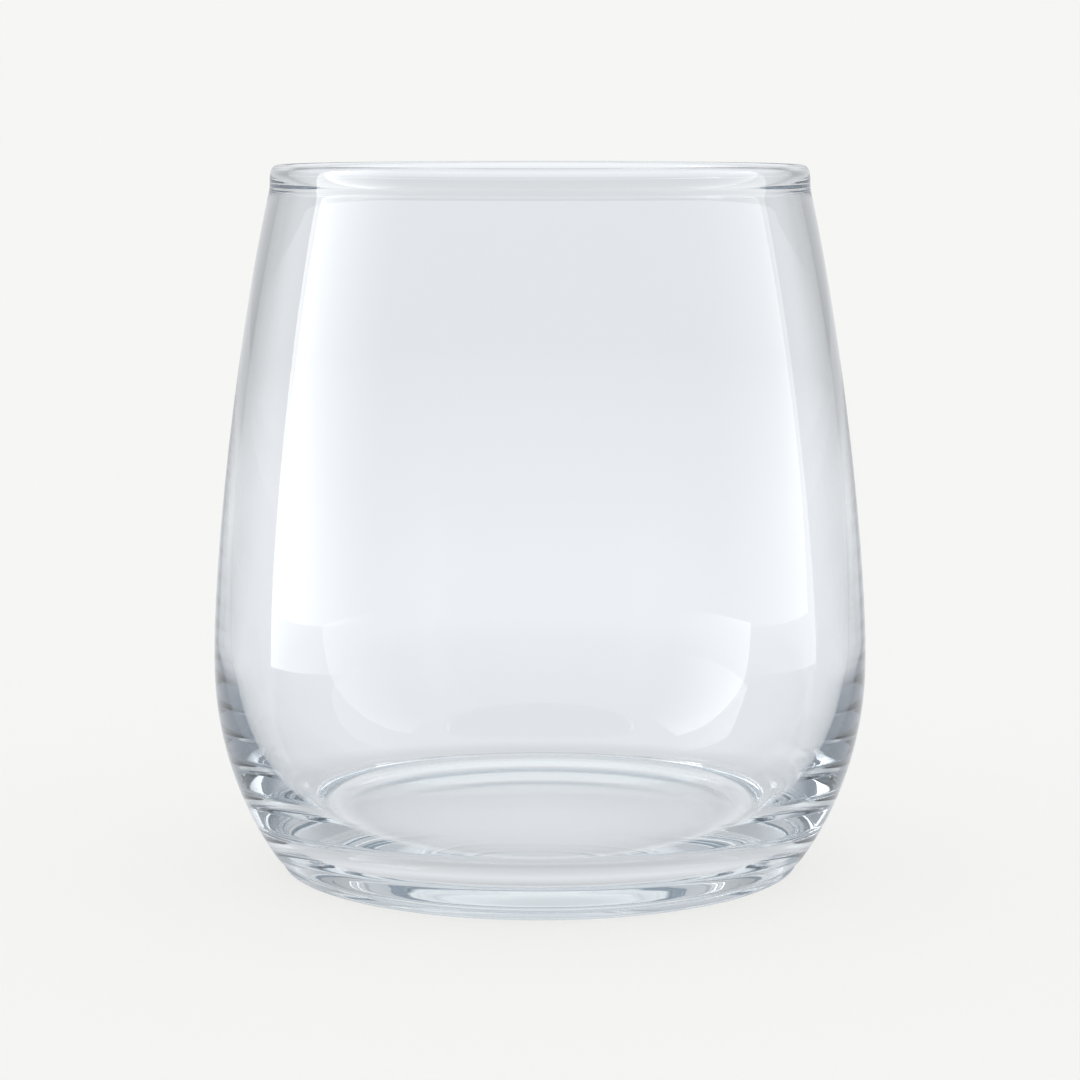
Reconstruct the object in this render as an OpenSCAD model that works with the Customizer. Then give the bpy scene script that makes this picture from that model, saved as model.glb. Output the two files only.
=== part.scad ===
// Stemless wine glass, pressed and blown as one piece of clear glass: a round bowl that draws in to the mouth,
// a melted rim, a thick floor and a short foot with a hollow under it.
// Millimetres and degrees. The origin is on the table in the middle of the foot, and Z points up.

/* [Bowl] */
// Height from the table to the top of the rim
height = 94.2; // [86:0.1:106]
// Widest diameter of the bowl
belly_d = 88; // [82:0.1:100]
// Height of the widest line of the bowl
belly_h = 27.8; // [22:0.1:36]
// Outside diameter of the mouth, over the rim
mouth_d = 71.5; // [60:0.1:80]
// Lean of the side under the mouth, inwards from upright
mouth_lean = 13.1; // [6:0.1:20]

/* [Rim] */
// Thickness of the melted rim, which is a full round
rim_w = 2.2; // [1.8:0.05:3]
// Thickness of the side just under the rim
side_w = 1.5; // [1.1:0.05:2.4]
// Length over which the side swells into the rim
swell_l = 3; // [1.5:0.1:8]

/* [Inside] */
// Thickness of the side at the widest inside line
shoulder_w = 2.2; // [1.6:0.05:4]
// How far the widest inside line lies above the widest outside line
shoulder_rise = 2.8; // [0:0.1:12]
// Thickness of the glass in the middle of the floor
floor_w = 4.2; // [2:0.1:8]
// Diameter of the level middle of the floor
floor_d = 57; // [40:0.5:60]

/* [Heel] */
// Lean of the side where it leaves the heel, up from the table
heel_lean = 55.5; // [46:0.5:66]
// Radius of the round that turns under the bowl
heel_r = 4; // [1:0.1:6]
// Lean of that round where it meets the foot, up from the table
crease_lean = 28; // [12:1:44]

/* [Foot] */
// Diameter of the foot
foot_d = 70; // [62:0.1:74]
// Height of the foot up to the crease under the bowl
foot_h = 0.9; // [0.6:0.05:2]
// Radius of the round on the lower edge of the foot
foot_edge_r = 0.4; // [0.2:0.05:0.6]
// Width of the level ring that the glass stands on
ring_w = 6; // [2:0.1:14]
// Height of the hollow in the middle of the underside
punt_h = 1; // [0.3:0.1:3]

/* [Smoothness] */
// Steps round the glass
turn_steps = 180; // [72:12:360]
// Steps along each long curve of the outline
curve_steps = 28; // [10:1:60]
// Steps along each short round of the outline
round_steps = 10; // [4:1:30]

/* [Hidden] */

// How far each curve follows its own tangent: at its lower end, then at its upper end, as a share of its height
lower_side_shares = [0.22, 0.47];
upper_side_shares = [0.23, 0.29];
inner_side_shares = [0.137, 0.483];
// The same for the inside of the base: across to the level floor, then up the side
inner_base_shares = [0.35, 0.66];
// How far the swell under the rim follows the side and the rim, as a share of its length
swell_share = 0.5;

belly_r = belly_d / 2;
foot_r = foot_d / 2;
floor_r = floor_d / 2;

// Unit direction at an angle, and the two directions of the side under the mouth: up along it and out through it
function ray(a) = [cos(a), sin(a)];
up_mouth = ray(90 + mouth_lean);
out_mouth = ray(mouth_lean);

// Middle of the rim's round, and the middle of the side where the swell starts
rim_c = [(mouth_d - rim_w) / 2, height - rim_w / 2];
neck_c = rim_c - swell_l * up_mouth;
rim_out = rim_c + rim_w / 2 * out_mouth;
rim_in = rim_c - rim_w / 2 * out_mouth;
neck_out = neck_c + side_w / 2 * out_mouth;
neck_in = neck_c - side_w / 2 * out_mouth;

// The round under the bowl, from the crease over the foot to the start of the side
crease = [foot_r, foot_h];
heel_c = crease + heel_r * ray(90 + crease_lean);
side_start = heel_c + heel_r * ray(heel_lean - 90);

// Heights that the outside curves span
lower_rise = belly_h - side_start[1];
upper_rise = neck_out[1] - belly_h;

// The widest inside line, the level floor and the heights that the inside curves span
shoulder = [belly_r - shoulder_w, belly_h + shoulder_rise];
floor_h = punt_h + floor_w;
inner_rise = neck_in[1] - shoulder[1];
base_rise = shoulder[1] - floor_h;
base_reach = shoulder[0] - floor_r;

// The hollow under the foot is a shallow dome with its edge on the inside of the ring
punt_r = foot_r - foot_edge_r - ring_w;
dome_r = (punt_r * punt_r + punt_h * punt_h) / (2 * punt_h);

// Points along a round and along a cubic curve, without the last one, which starts the next stretch
function arc(c, r, from, to, steps) = [for (i = [0 : steps - 1]) c + r * ray(from + (to - from) * i / steps)];
function cubic(p, t) =
    pow(1 - t, 3) * p[0] + 3 * pow(1 - t, 2) * t * p[1] + 3 * (1 - t) * t * t * p[2] + pow(t, 3) * p[3];
function curve(p, steps) = [for (i = [0 : steps - 1]) cubic(p, i / steps)];

// Underside, from the middle of the hollow to the ring
underside = concat(
    arc([0, punt_h - dome_r], dome_r, 90, acos(punt_r / dome_r), curve_steps),
    [[punt_r, 0]]
);

// Foot and heel, from the ring up to the start of the side
foot_and_heel = concat(
    arc([foot_r - foot_edge_r, foot_edge_r], foot_edge_r, -90, 0, round_steps),
    [[foot_r, foot_edge_r]],
    arc(heel_c, heel_r, crease_lean - 90, heel_lean - 90, round_steps)
);

// Outside of the bowl, up to the rim
outside = concat(
    curve([
        side_start,
        side_start + lower_side_shares[0] * lower_rise * ray(heel_lean),
        [belly_r, belly_h - lower_side_shares[1] * lower_rise],
        [belly_r, belly_h]
    ], curve_steps),
    curve([
        [belly_r, belly_h],
        [belly_r, belly_h + upper_side_shares[0] * upper_rise],
        neck_out - upper_side_shares[1] * upper_rise * up_mouth,
        neck_out
    ], curve_steps),
    curve([
        neck_out,
        neck_out + swell_share * swell_l * up_mouth,
        rim_out - swell_share * swell_l * up_mouth,
        rim_out
    ], round_steps)
);

// Full round of the rim, over to the inside
rim = arc(rim_c, rim_w / 2, mouth_lean, mouth_lean + 180, 2 * round_steps);

// Inside of the bowl, down to the level floor
inside = concat(
    curve([
        rim_in,
        rim_in - swell_share * swell_l * up_mouth,
        neck_in + swell_share * swell_l * up_mouth,
        neck_in
    ], round_steps),
    curve([
        neck_in,
        neck_in - inner_side_shares[1] * inner_rise * up_mouth,
        shoulder + [0, inner_side_shares[0] * inner_rise],
        shoulder
    ], curve_steps),
    curve([
        shoulder,
        shoulder - [0, inner_base_shares[1] * base_rise],
        [floor_r + inner_base_shares[0] * base_reach, floor_h],
        [floor_r, floor_h]
    ], curve_steps),
    [[floor_r, floor_h], [0, floor_h]]
);

// The whole glass is one section turned about its middle line
module glass() {
    color([0.86, 0.91, 0.94, 0.35])
        rotate_extrude($fn = turn_steps)
            polygon(concat(underside, foot_and_heel, outside, rim, inside));
}

glass();
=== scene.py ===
import math

import bmesh
import bpy
import mathutils
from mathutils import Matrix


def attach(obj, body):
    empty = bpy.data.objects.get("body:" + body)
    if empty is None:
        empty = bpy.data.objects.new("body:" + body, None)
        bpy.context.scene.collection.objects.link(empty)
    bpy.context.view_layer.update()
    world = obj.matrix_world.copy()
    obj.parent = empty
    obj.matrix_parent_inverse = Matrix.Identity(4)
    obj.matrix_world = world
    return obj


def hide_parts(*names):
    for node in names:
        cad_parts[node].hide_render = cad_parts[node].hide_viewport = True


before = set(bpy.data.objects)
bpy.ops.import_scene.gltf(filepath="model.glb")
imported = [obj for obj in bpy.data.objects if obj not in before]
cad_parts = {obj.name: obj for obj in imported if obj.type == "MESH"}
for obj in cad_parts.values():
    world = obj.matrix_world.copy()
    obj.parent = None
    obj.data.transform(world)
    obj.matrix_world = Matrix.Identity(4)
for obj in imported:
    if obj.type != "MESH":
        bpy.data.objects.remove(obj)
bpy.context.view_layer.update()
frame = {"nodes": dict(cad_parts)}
print("frame loaded:", ", ".join(frame["nodes"]))

millimetre = 0.001
oneOrMore = 0.5  # a ray's count of bounces is none below this


# small helpers for node trees

def addNode(tree, kind, settings=None, values=None):
    node = tree.nodes.new(kind)
    for name, setting in (settings or {}).items():
        setattr(node, name, setting)
    for name, value in (values or {}).items():
        feed(tree, value, node.inputs[name])
    return node


def feed(tree, value, socket):
    # a socket is linked, anything else is typed in
    if isinstance(value, bpy.types.NodeSocket):
        tree.links.new(value, socket)
    elif isinstance(value, Amount):
        tree.links.new(value.socket, socket)
    else:
        socket.default_value = value


class Amount:
    # a number or point in a tree that can be written in plain arithmetic

    def __init__(self, tree, socket):
        self.tree = tree
        self.socket = socket
        self.isPoint = socket.type == "VECTOR"

    def combine(self, operation, first, second):
        points = [isinstance(x, Amount) and x.isPoint for x in (first, second)]
        if not any(points):
            node = addNode(self.tree, "ShaderNodeMath", {"operation": operation}, {0: first, 1: second})
            return Amount(self.tree, node.outputs[0])
        kind = "ShaderNodeVectorMath"
        if operation == "MULTIPLY":  # a point times a number
            point, number = (first, second) if points[0] else (second, first)
            node = addNode(self.tree, kind, {"operation": "SCALE"}, {"Vector": point, "Scale": number})
        else:
            node = addNode(self.tree, kind, {"operation": operation}, {0: first, 1: second})
        return Amount(self.tree, node.outputs["Vector"])

    def __add__(self, other):
        return self.combine("ADD", self, other)

    def __sub__(self, other):
        return self.combine("SUBTRACT", self, other)

    def __rsub__(self, other):
        return self.combine("SUBTRACT", other, self)

    def __mul__(self, other):
        return self.combine("MULTIPLY", self, other)

    __rmul__ = __mul__
    __radd__ = __add__

    def __truediv__(self, other):
        return self.combine("DIVIDE", self, other)

    def apply(self, operation):
        node = addNode(self.tree, "ShaderNodeMath", {"operation": operation}, {0: self})
        return Amount(self.tree, node.outputs[0])

    def isBelow(self, limit):
        return self.combine("LESS_THAN", self, limit)

    def isAbove(self, limit):
        return self.combine("GREATER_THAN", self, limit)

    def part(self, axis):
        node = addNode(self.tree, "ShaderNodeSeparateXYZ", values={"Vector": self})
        return Amount(self.tree, node.outputs[axis])


def pointAt(tree, across, up):
    node = addNode(tree, "ShaderNodeCombineXYZ", values={"X": across, "Y": up})
    return Amount(tree, node.outputs[0])


def direction(tree, angle):
    return pointAt(tree, angle.apply("COSINE"), angle.apply("SINE"))


# the glass: one outline, turned about its middle line

# lengths in millimetres, angles in degrees, and shares of the height or length that a curve spans
glassSizes = {
    "Height": 94.2,
    "Belly Width": 88.0,
    "Belly Height": 27.8,
    "Mouth Width": 71.5,
    "Mouth Lean": 13.1,
    "Rim Thickness": 2.2,
    "Side Thickness": 1.5,
    "Swell Length": 3.0,
    "Shoulder Thickness": 2.2,
    "Shoulder Rise": 2.8,
    "Floor Height": 5.2,
    "Floor Width": 57.0,
    "Heel Lean": 55.5,
    "Heel Radius": 4.0,
    "Crease Lean": 28.0,
    "Foot Width": 70.0,
    "Foot Height": 0.9,
    "Foot Edge Radius": 0.4,
    "Ring Width": 6.0,
    "Hollow Height": 1.0,
    "Lower Side Start": 0.22,
    "Lower Side End": 0.47,
    "Upper Side Start": 0.23,
    "Upper Side End": 0.29,
    "Inner Side Start": 0.483,
    "Inner Side End": 0.137,
    "Inner Base Start": 0.66,
    "Inner Base End": 0.35,
    "Swell Share": 0.5,
}
glassSteps = {"Long Curve Steps": 48, "Short Curve Steps": 13, "Flat Steps": 8, "Steps Around": 288}
lengthNames = ("Height", "Width", "Thickness", "Length", "Radius", "Rise")
angleNames = ("Lean",)
weldDistance = 2e-6  # metres between the ends of two stretches that meet
sharpAngle = math.radians(20)  # the outline only turns by more at the crease and the ring


def inputValue(name, value):
    if name.endswith(lengthNames):
        return value * millimetre
    return math.radians(value) if name.endswith(angleNames) else value


def glassTree(material):
    tree = bpy.data.node_groups.new("turnedGlass", "GeometryNodeTree")
    sides = tree.interface
    sides.new_socket("Geometry", in_out="INPUT", socket_type="NodeSocketGeometry")
    sides.new_socket("Geometry", in_out="OUTPUT", socket_type="NodeSocketGeometry")
    for name, value in glassSizes.items():
        socket = sides.new_socket(name, in_out="INPUT", socket_type="NodeSocketFloat")
        socket.default_value = inputValue(name, value)
    for name, value in glassSteps.items():
        sides.new_socket(name, in_out="INPUT", socket_type="NodeSocketInt").default_value = value
    source = tree.nodes.new("NodeGroupInput")
    size = {name: Amount(tree, source.outputs[name]) for name in (*glassSizes, *glassSteps)}

    def curve(start, startHandle, endHandle, end, steps):
        node = addNode(tree, "GeometryNodeCurvePrimitiveBezierSegment", {"mode": "POSITION"}, {
            "Resolution": size[steps], "Start": start, "Start Handle": startHandle,
            "End Handle": endHandle, "End": end})
        return node.outputs[0]

    def straight(start, end):
        line = addNode(tree, "GeometryNodeCurvePrimitiveLine", values={"Start": start, "End": end})
        cut = addNode(tree, "GeometryNodeResampleCurve", values={
            "Curve": line.outputs[0], "Count": size["Flat Steps"]})
        return cut.outputs[0]

    def arc(middle, radius, startAngle, sweep, steps):
        node = addNode(tree, "GeometryNodeCurveArc", {"mode": "RADIUS"}, {
            "Resolution": size[steps], "Radius": radius, "Start Angle": startAngle, "Sweep Angle": sweep})
        moved = addNode(tree, "GeometryNodeTransform", values={
            "Geometry": node.outputs[0], "Translation": middle})
        return moved.outputs[0]

    # the mouth and the rim: a full round on the leaning side
    lean = size["Mouth Lean"]
    quarter = math.pi / 2
    upMouth = direction(tree, lean + quarter)
    outMouth = direction(tree, lean)
    rimRadius = size["Rim Thickness"] * 0.5
    rimMiddle = pointAt(tree, size["Mouth Width"] * 0.5 - rimRadius, size["Height"] - rimRadius)
    neckMiddle = rimMiddle - upMouth * size["Swell Length"]
    rimOut = rimMiddle + outMouth * rimRadius
    rimIn = rimMiddle - outMouth * rimRadius
    neckOut = neckMiddle + outMouth * (size["Side Thickness"] * 0.5)
    neckIn = neckMiddle - outMouth * (size["Side Thickness"] * 0.5)
    swell = upMouth * (size["Swell Length"] * size["Swell Share"])

    # the heel: a round that turns under the bowl down to the crease over the foot
    footR = size["Foot Width"] * 0.5
    heelR = size["Heel Radius"]
    creaseLean, heelLean = size["Crease Lean"], size["Heel Lean"]
    heelMiddle = pointAt(tree, footR, size["Foot Height"]) + direction(tree, creaseLean + quarter) * heelR
    heelTop = heelMiddle + direction(tree, heelLean - quarter) * heelR

    # the outside
    bellyR = size["Belly Width"] * 0.5
    bellyH = size["Belly Height"]
    belly = pointAt(tree, bellyR, bellyH)
    lowerRise = bellyH - heelTop.part("Y")
    upperRise = neckOut.part("Y") - bellyH
    sideStart = heelTop + direction(tree, heelLean) * (size["Lower Side Start"] * lowerRise)

    # the inside
    shoulderR = bellyR - size["Shoulder Thickness"]
    shoulderH = bellyH + size["Shoulder Rise"]
    shoulder = pointAt(tree, shoulderR, shoulderH)
    floorR = size["Floor Width"] * 0.5
    floorH = size["Floor Height"]
    floorEdge = pointAt(tree, floorR, floorH)
    innerRise = neckIn.part("Y") - shoulderH
    baseRise = shoulderH - floorH
    baseReach = shoulderR - floorR

    # the underside: a shallow hollow inside the ring that the glass stands on
    edgeR = size["Foot Edge Radius"]
    ringOut = footR - edgeR
    ringIn = ringOut - size["Ring Width"]
    hollow = size["Hollow Height"]
    domeR = (ringIn * ringIn + hollow * hollow) / (hollow * 2.0)
    domeEnd = (ringIn / domeR).apply("ARCCOSINE")

    stretches = [
        arc(pointAt(tree, 0.0, hollow - domeR), domeR, quarter, domeEnd - quarter, "Long Curve Steps"),
        straight(pointAt(tree, ringIn, 0.0), pointAt(tree, ringOut, 0.0)),
        arc(pointAt(tree, ringOut, edgeR), edgeR, -quarter, quarter, "Short Curve Steps"),
        straight(pointAt(tree, footR, edgeR), pointAt(tree, footR, size["Foot Height"])),
        arc(heelMiddle, heelR, creaseLean - quarter, heelLean - creaseLean, "Short Curve Steps"),
        curve(heelTop, sideStart, pointAt(tree, bellyR, bellyH - size["Lower Side End"] * lowerRise), belly,
              "Long Curve Steps"),
        curve(belly, pointAt(tree, bellyR, bellyH + size["Upper Side Start"] * upperRise),
              neckOut - upMouth * (size["Upper Side End"] * upperRise), neckOut, "Long Curve Steps"),
        curve(neckOut, neckOut + swell, rimOut - swell, rimOut, "Short Curve Steps"),
        arc(rimMiddle, rimRadius, lean, math.pi, "Short Curve Steps"),
        curve(rimIn, rimIn - swell, neckIn + swell, neckIn, "Short Curve Steps"),
        curve(neckIn, neckIn - upMouth * (size["Inner Side Start"] * innerRise),
              pointAt(tree, shoulderR, shoulderH + size["Inner Side End"] * innerRise), shoulder,
              "Long Curve Steps"),
        curve(shoulder, pointAt(tree, shoulderR, shoulderH - size["Inner Base Start"] * baseRise),
              pointAt(tree, floorR + size["Inner Base End"] * baseReach, floorH), floorEdge,
              "Long Curve Steps"),
        straight(floorEdge, pointAt(tree, 0.0, floorH)),
    ]
    outline = tree.nodes.new("GeometryNodeJoinGeometry")
    for stretch in stretches:
        tree.links.new(stretch, outline.inputs[0])

    # the outline is swept round a small circle, less that circle's radius
    pathR = millimetre
    path = addNode(tree, "GeometryNodeCurvePrimitiveCircle", {"mode": "RADIUS"}, {
        "Resolution": size["Steps Around"], "Radius": pathR})
    upright = addNode(tree, "GeometryNodeSetCurveNormal", {"mode": "Z_UP"}, {"Curve": path.outputs[0]})
    shifted = addNode(tree, "GeometryNodeTransform", values={
        "Geometry": outline.outputs[0], "Translation": (-pathR, 0.0, 0.0), "Scale": (1.0, -1.0, 1.0)})
    sweep = addNode(tree, "GeometryNodeCurveToMesh", values={
        "Curve": upright.outputs[0], "Profile Curve": shifted.outputs[0], "Fill Caps": False})
    welded = addNode(tree, "GeometryNodeMergeByDistance", values={
        "Geometry": sweep.outputs[0], "Distance": weldDistance})
    smooth = addNode(tree, "GeometryNodeSetShadeSmooth", values={"Geometry": welded.outputs[0]})
    realized = addNode(tree, "GeometryNodeRealizeInstances", values={"Geometry": smooth.outputs[0]})
    finished = addNode(tree, "GeometryNodeSetMaterial", values={
        "Geometry": realized.outputs[0], "Material": material})
    target = tree.nodes.new("NodeGroupOutput")
    tree.links.new(finished.outputs[0], target.inputs[0])
    return tree


def makeGlass(material):
    base = bpy.data.objects.new("glassBody", bpy.data.meshes.new("glassBody"))
    bpy.context.scene.collection.objects.link(base)
    modifier = base.modifiers.new("turned", "NODES")
    modifier.node_group = glassTree(material)
    for item in modifier.node_group.interface.items_tree:
        if item.in_out == "INPUT" and item.name in glassSizes:
            modifier[item.identifier] = inputValue(item.name, glassSizes[item.name])
        elif item.in_out == "INPUT" and item.name in glassSteps:
            modifier[item.identifier] = glassSteps[item.name]
    bpy.context.view_layer.update()
    graph = bpy.context.evaluated_depsgraph_get()
    mesh = bpy.data.meshes.new_from_object(base.evaluated_get(graph))
    base.modifiers.clear()
    base.data = mesh
    mesh.name = "glassBody"
    return base


def tidyMesh(piece):
    # faces outwards, with a crisp edge only where the outline really turns
    work = bmesh.new()
    work.from_mesh(piece.data)
    bmesh.ops.recalc_face_normals(work, faces=work.faces)
    for edge in work.edges:
        edge.smooth = len(edge.link_faces) != 2 or edge.calc_face_angle(0.0) < sharpAngle
    for face in work.faces:
        face.smooth = True
    work.to_mesh(piece.data)
    work.free()


# the finish: clear glass that a mould and a flame have left very slightly uneven

glassFinish = {
    "colour": (0.985, 0.99, 0.995, 1.0),
    "roughness": 0.0,  # where no smear is
    "index": 1.52,
    "absorbed colour": (0.0, 0.23, 0.38, 1.0),  # what the glass takes away least of
    "absorption": 2.4,  # per metre of glass
    "wave size": 38.0,  # waves per metre round and up the side
    "wave detail": 1.0,
    "wave height": 0.00001,
    "base waves": 16.0,  # how many times higher the waves are in the thick base
    "base top": 0.018,  # metres above the table where that begins
    "smear size": 55.0,
    "smear detail": 3.0,
    "smear twist": 1.5,
    "smear spread": (0.5, 0.75),
    "smear roughness": 0.012,
}


def blownSurfaceGroup():
    # slow waves left by the mould, and faint smears where a cloth has been
    tree = bpy.data.node_groups.new("blownSurface", "ShaderNodeTree")
    sides = tree.interface
    sides.new_socket("Point", in_out="INPUT", socket_type="NodeSocketVector")
    for name in ("Wave Size", "Base Waves", "Base Top", "Smear Size", "Smear Roughness"):
        sides.new_socket(name, in_out="INPUT", socket_type="NodeSocketFloat")
    sides.new_socket("Height", in_out="OUTPUT", socket_type="NodeSocketFloat")
    sides.new_socket("Roughness", in_out="OUTPUT", socket_type="NodeSocketFloat")
    source = tree.nodes.new("NodeGroupInput")
    wave = addNode(tree, "ShaderNodeTexNoise", values={
        "Vector": source.outputs["Point"], "Scale": source.outputs["Wave Size"],
        "Detail": glassFinish["wave detail"]})
    up = Amount(tree, source.outputs["Point"]).part("Z")
    base = addNode(tree, "ShaderNodeMapRange", {"interpolation_type": "SMOOTHSTEP"}, {
        "Value": up, "From Min": source.outputs["Base Top"], "From Max": 0.0,
        "To Min": 1.0, "To Max": source.outputs["Base Waves"]})
    swing = Amount(tree, wave.outputs["Fac"]) - 0.5  # so that a higher wave also digs deeper
    height = swing * Amount(tree, base.outputs["Result"])
    smear = addNode(tree, "ShaderNodeTexNoise", values={
        "Vector": source.outputs["Point"], "Scale": source.outputs["Smear Size"],
        "Detail": glassFinish["smear detail"], "Distortion": glassFinish["smear twist"]})
    spreadStart, spreadEnd = glassFinish["smear spread"]
    patch = addNode(tree, "ShaderNodeMapRange", {"interpolation_type": "SMOOTHSTEP"}, {
        "Value": smear.outputs["Fac"], "From Min": spreadStart, "From Max": spreadEnd,
        "To Max": source.outputs["Smear Roughness"]})
    target = tree.nodes.new("NodeGroupOutput")
    feed(tree, height, target.inputs["Height"])
    tree.links.new(patch.outputs["Result"], target.inputs["Roughness"])
    return tree


def makeClearGlass():
    material = bpy.data.materials.new("clearGlass")
    material.use_nodes = True
    tree = material.node_tree
    shader = tree.nodes["Principled BSDF"]
    shader.inputs["Base Color"].default_value = glassFinish["colour"]
    shader.inputs["Roughness"].default_value = glassFinish["roughness"]
    shader.inputs["IOR"].default_value = glassFinish["index"]
    shader.inputs["Transmission Weight"].default_value = 1.0
    place = tree.nodes.new("ShaderNodeTexCoord")
    surface = addNode(tree, "ShaderNodeGroup", {"node_tree": blownSurfaceGroup()}, {
        "Point": place.outputs["Object"], "Wave Size": glassFinish["wave size"],
        "Base Waves": glassFinish["base waves"], "Base Top": glassFinish["base top"],
        "Smear Size": glassFinish["smear size"], "Smear Roughness": glassFinish["smear roughness"]})
    bump = addNode(tree, "ShaderNodeBump", values={
        "Height": surface.outputs["Height"], "Distance": glassFinish["wave height"]})
    tree.links.new(bump.outputs["Normal"], shader.inputs["Normal"])
    tree.links.new(surface.outputs["Roughness"], shader.inputs["Roughness"])
    body = addNode(tree, "ShaderNodeVolumeAbsorption", values={
        "Color": glassFinish["absorbed colour"], "Density": glassFinish["absorption"]})
    tree.links.new(body.outputs["Volume"], tree.nodes["Material Output"].inputs["Volume"])
    return material


clearGlass = makeClearGlass()
glass = makeGlass(clearGlass)
tidyMesh(glass)
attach(glass, "root")
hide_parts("glass")
print("glass turned:", len(glass.data.vertices), "points,", len(glass.data.polygons), "faces")


# the table, the studio round it and the lamps

studio = {
    "backdrop": (0.922, 0.922, 0.905),
    "plain light": 1.0,
    "table size": 60.0,
    "table glow": 0.8,  # how far the camera sees the table lit by itself
    "table drop": 0.0001,  # the air film under the foot
    "painted caught shade": (0.33, 0.37, 0.42),  # painted shade that the studio and table tones are multiplied by where light has run inside the wall
    "caught ring": (0.035, 0.05, 0.085, 0.13),  # where on the table the painted shade counts, in metres from the middle
    "caught side": (60, 80),  # degrees from behind past which the painted shade counts everywhere
    "open side": (75, 95),  # past this, what is seen straight through the glass is as light as behind it
}
studioBands = {  # degrees above the table: tones by degrees away from straight behind the glass
    0: [(0, 0.73), (9, 0.76), (18, 0.60), (30, 0.42), (40, 0.40), (50, 0.60), (70, 0.70), (110, 0.60),
        (180, 0.55)],
    12: [(0, 0.75), (9, 0.78), (18, 0.62), (30, 0.62), (40, 0.45), (50, 0.48), (70, 0.80), (110, 0.50),
         (180, 0.65)],
    28: [(0, 1.0), (16, 0.98), (25, 0.78), (38, 0.48), (50, 0.62), (70, 0.90), (110, 0.80), (180, 0.75)],
    48: [(0, 1.0), (180, 1.0)],
}
tableLightAndShade = {  # painted light and shade on the table as the glass sees it, darker under the glass, with a painted shadow ring at the foot's edge: metres from the middle of the foot, in the same way
    0.0: [(0, 0.77)],
    0.014: [(0, 0.71)],
    0.021: [(0, 0.66)],
    0.026: [(0, 0.58)],
    0.030: [(0, 0.80)],
    0.034: [(0, 0.60)],
    0.045: [(0, 0.86), (65, 0.86), (85, 0.65), (110, 0.95)],
    0.07: [(0, 0.86), (48, 0.90), (65, 0.83), (85, 0.60), (110, 0.95), (180, 0.95)],
    0.16: [(0, 0.97), (25, 0.97), (40, 0.85), (65, 0.68), (85, 0.75), (135, 0.52), (180, 0.60)],
    0.35: [(0, 0.91), (15, 0.93), (30, 1.0), (38, 0.97), (50, 0.32), (62, 0.28), (80, 0.60), (135, 0.50),
           (180, 0.40)],
    1.0: [(0, 0.85), (9, 0.90), (18, 0.56), (30, 0.58), (48, 0.36), (65, 0.50), (85, 0.62), (135, 0.52),
          (180, 0.42)],
}
coolness = (0.978, 1.0, 1.025)  # red, green and blue of every tone
halfTurn = 180  # degrees from straight behind the glass round to the camera


def rampOf(tree, factor, stops):
    node = addNode(tree, "ShaderNodeValToRGB", values={"Fac": factor})
    ramp = node.color_ramp
    ramp.interpolation = "B_SPLINE"
    while len(ramp.elements) > 1:
        ramp.elements.remove(ramp.elements[-1])
    first = True
    for angle, tone in stops:
        stop = ramp.elements[0] if first else ramp.elements.new(angle / halfTurn)
        stop.position = angle / halfTurn
        stop.color = (*(tone * share for share in coolness), 1.0)
        first = False
    return node.outputs["Color"]


def smoothStep(tree, value, start, end):
    node = addNode(tree, "ShaderNodeMapRange", {"interpolation_type": "SMOOTHSTEP"}, {
        "Value": value, "From Min": start, "From Max": end})
    return Amount(tree, node.outputs["Result"])


def sideStep(tree, turn, name):
    return smoothStep(tree, turn, *(angle / halfTurn for angle in studio[name]))


def mixColours(tree, factor, first, second, blend="MIX"):
    node = addNode(tree, "ShaderNodeMix", {"data_type": "RGBA", "blend_type": blend})
    feed(tree, factor, node.inputs[0])
    feed(tree, first, node.inputs[6])
    feed(tree, second, node.inputs[7])
    return node.outputs[2]


def bandTones(tree, turn, level, bands):
    # the tones of each band, blended from one level to the next
    levels = sorted(bands)
    tone = rampOf(tree, turn, bands[levels[0]])
    for lower, upper in zip(levels, levels[1:]):
        climb = addNode(tree, "ShaderNodeMapRange", values={
            "Value": level, "From Min": lower, "From Max": upper})
        tone = mixColours(tree, climb.outputs["Result"], tone, rampOf(tree, turn, bands[upper]))
    return tone


def tonesRound(tree, turn, level, bands, light):
    # the bands, and for a look straight through the glass from another side the tones from behind it
    thrown = Amount(tree, light.outputs["Glossy Depth"])
    straight = thrown.isBelow(oneOrMore) * sideStep(tree, turn, "open side")
    around = bandTones(tree, turn, level, bands)
    return mixColours(tree, straight, around, bandTones(tree, 0.0, level, bands))


def paintCaughtShade(tree, tone, light, zone):
    # painted shade on light that went in and out of the glass once, and was thrown back inside it on the
    # way
    through = Amount(tree, light.outputs["Transmission Depth"])
    thrown = Amount(tree, light.outputs["Glossy Depth"])
    once = through.combine("COMPARE", through, 2.0)
    caught = once * thrown.isAbove(oneOrMore) * zone
    return mixColours(tree, caught, tone, (*studio["painted caught shade"], 1.0), "MULTIPLY")


def angleFromBehind(tree, vector):
    # 0 straight behind the glass, 1 on the camera's side
    parts = addNode(tree, "ShaderNodeSeparateXYZ", values={"Vector": vector})
    across = Amount(tree, parts.outputs["X"])
    turn = across.combine("ARCTAN2", across, Amount(tree, parts.outputs["Y"])).apply("ABSOLUTE") / math.pi
    return turn, Amount(tree, parts.outputs["Z"])


def seenInGlass(tree):
    # rays that leave the glass or mirror in it, before any dull surface
    light = tree.nodes.new("ShaderNodeLightPath")
    mirrored = Amount(tree, light.outputs["Is Glossy Ray"])
    through = mirrored.combine("MAXIMUM", mirrored, Amount(tree, light.outputs["Is Transmission Ray"]))
    return through * Amount(tree, light.outputs["Diffuse Depth"]).isBelow(oneOrMore), light


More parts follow.
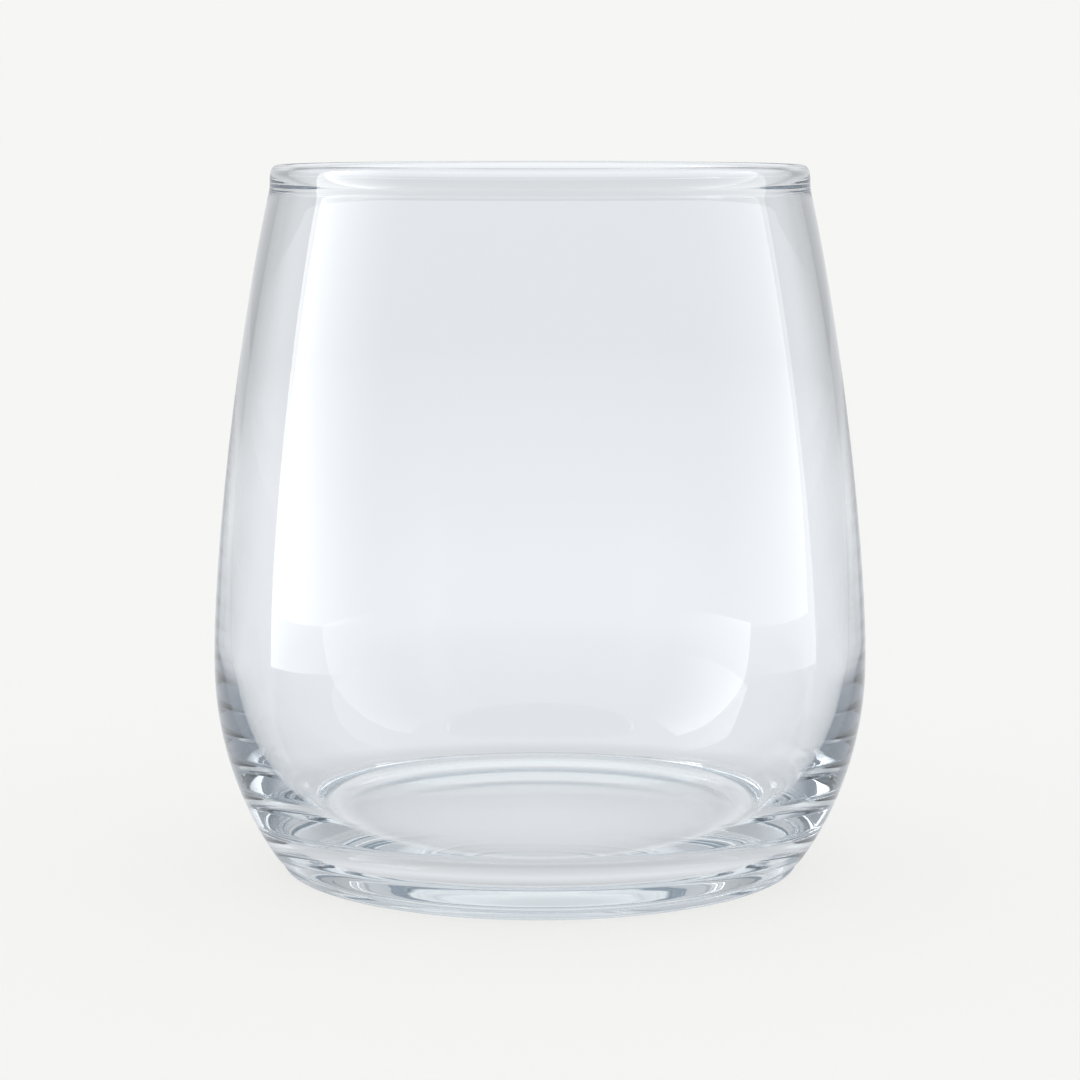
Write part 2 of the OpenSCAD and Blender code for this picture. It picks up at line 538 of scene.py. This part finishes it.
def makeStudio():
    world = bpy.data.worlds.new("studio")
    bpy.context.scene.world = world
    world.use_nodes = True
    tree = world.node_tree
    tree.nodes.clear()
    place = tree.nodes.new("ShaderNodeTexCoord")
    turn, height = angleFromBehind(tree, place.outputs["Generated"])
    rise = height.apply("ARCSINE") * (halfTurn / math.pi)
    glassRays, light = seenInGlass(tree)
    tones = tonesRound(tree, turn, rise, studioBands, light)
    # painted shade on the studio where light has run inside the wall
    tone = paintCaughtShade(tree, tones, light, sideStep(tree, turn, "caught side"))
    plain = addNode(tree, "ShaderNodeBackground", values={
        "Color": (1.0, 1.0, 1.0, 1.0), "Strength": studio["plain light"]})
    inGlass = addNode(tree, "ShaderNodeBackground", values={"Color": tone})
    backdrop = addNode(tree, "ShaderNodeBackground", values={"Color": (*studio["backdrop"], 1.0)})
    first = addNode(tree, "ShaderNodeMixShader", values={
        0: glassRays, 1: plain.outputs[0], 2: inGlass.outputs[0]})
    last = addNode(tree, "ShaderNodeMixShader", values={
        0: light.outputs["Is Camera Ray"], 1: first.outputs[0], 2: backdrop.outputs[0]})
    target = tree.nodes.new("ShaderNodeOutputWorld")
    tree.links.new(last.outputs[0], target.inputs["Surface"])


def makeTable():
    bpy.ops.mesh.primitive_plane_add(size=studio["table size"], location=(0.0, 0.0, -studio["table drop"]))
    table = bpy.context.object
    table.name = "table"
    material = bpy.data.materials.new("paleTable")
    material.use_nodes = True
    tree = material.node_tree
    shader = tree.nodes["Principled BSDF"]
    shader.inputs["Roughness"].default_value = 1.0
    shader.inputs["Specular IOR Level"].default_value = 0.0
    place = tree.nodes.new("ShaderNodeNewGeometry")
    turn = angleFromBehind(tree, place.outputs["Position"])[0]
    away = Amount(tree, addNode(tree, "ShaderNodeVectorMath", {"operation": "LENGTH"}, {
        0: place.outputs["Position"]}).outputs["Value"])
    glassRays, light = seenInGlass(tree)
    inner = smoothStep(tree, away, *studio["caught ring"][:2])
    outer = smoothStep(tree, away, *studio["caught ring"][2:])
    zone = inner * (1.0 - outer * (1.0 - sideStep(tree, turn, "caught side")))
    # painted light and shade on the table, with painted shade where light has run inside the wall
    tone = paintCaughtShade(tree, tonesRound(tree, turn, away, tableLightAndShade, light), light, zone)
    tone = mixColours(tree, glassRays, (*studio["backdrop"], 1.0), tone)
    tree.links.new(tone, shader.inputs["Base Color"])
    # the table glows with its painted light and shade for rays from the glass, and in part with the
    # backdrop colour for the camera, which weakens its shadow
    glow = addNode(tree, "ShaderNodeEmission", values={"Color": tone})
    cameraGlow = Amount(tree, light.outputs["Is Camera Ray"]) * studio["table glow"]
    ownGlow = glassRays.combine("MAXIMUM", glassRays, cameraGlow)
    mixed = addNode(tree, "ShaderNodeMixShader", values={
        0: ownGlow, 1: shader.outputs[0], 2: glow.outputs[0]})
    tree.links.new(mixed.outputs[0], tree.nodes["Material Output"].inputs["Surface"])
    table.data.materials.append(material)


# degrees from the camera towards the left, metres, how bright each one mirrors and after how many bounces
# it no longer shows
softBoxes = {
    "leftBox": {"turn": 74.5, "away": 0.288, "facing": 100, "lean": 6.5, "middle": 0.18,
                "wide": 0.273, "high": 0.44, "bright": 3.0, "fade": 2.1, "bounces": 15},
    "rightBox": {"turn": -74.5, "away": 0.288, "facing": -100, "lean": 0.0, "middle": 0.18,
                 "wide": 0.273, "high": 0.44, "bright": 1.45, "fade": 2.4, "bounces": 15},
}
view = {"lens": 105.77, "sensor": 36.0, "away": 0.425, "high": 0.09996, "down": 7.53, "nearest": 0.01}
bounces = 64  # light runs far inside the thick base


def makeSoftBox(name, box):
    lamp = bpy.data.lights.new(name, "AREA")
    lamp.shape = "RECTANGLE"
    lamp.size, lamp.size_y = box["wide"], box["high"]
    lamp.energy = box["bright"] * math.pi * box["wide"] * box["high"]
    lampObject = bpy.data.objects.new(name, lamp)
    bpy.context.scene.collection.objects.link(lampObject)
    turn = math.radians(box["turn"])
    lampObject.location = (-box["away"] * math.sin(turn), -box["away"] * math.cos(turn), box["middle"])
    upright = mathutils.Euler((math.pi / 2, 0.0, -math.radians(box["facing"]))).to_matrix()
    leaning = mathutils.Matrix.Rotation(math.radians(box["lean"]), 3, "Z")
    lampObject.rotation_euler = (upright @ leaning).to_euler()
    lampObject.visible_camera = False
    lampObject.visible_diffuse = False
    lamp.use_nodes = True
    tree = lamp.node_tree
    light = tree.nodes.new("ShaderNodeLightPath")
    shown = Amount(tree, light.outputs["Diffuse Depth"]).isBelow(oneOrMore)
    shown = shown * Amount(tree, light.outputs["Glossy Depth"]).isAbove(oneOrMore)
    shown = shown * Amount(tree, light.outputs["Ray Depth"]).isBelow(box["bounces"])
    # the cloth is brightest at the edge behind the glass and dims towards the camera
    place = tree.nodes.new("ShaderNodeNewGeometry")
    fromFront = Amount(tree, place.outputs["Parametric"]).part("X")
    if box["turn"] > 0:
        fromFront = 1.0 - fromFront
    strength = shown * fromFront.combine("POWER", fromFront, box["fade"])
    tree.links.new(strength.socket, tree.nodes["Emission"].inputs["Strength"])


def makeCamera():
    camera = bpy.data.cameras.new("camera")
    cameraObject = bpy.data.objects.new("camera", camera)
    bpy.context.scene.collection.objects.link(cameraObject)
    camera.lens = view["lens"]
    camera.sensor_width = view["sensor"]
    camera.clip_start = view["nearest"]
    cameraObject.location = (0.0, -view["away"], view["high"])
    cameraObject.rotation_euler = (math.radians(90 - view["down"]), 0.0, 0.0)
    bpy.context.scene.camera = cameraObject


makeStudio()
makeTable()
for name, box in softBoxes.items():
    makeSoftBox(name, box)
makeCamera()
scene = bpy.context.scene
scene.view_settings.view_transform = "Standard"
scene.cycles.max_bounces = bounces
scene.cycles.transmission_bounces = bounces
scene.cycles.glossy_bounces = bounces
print("table, studio, lamps and camera placed")
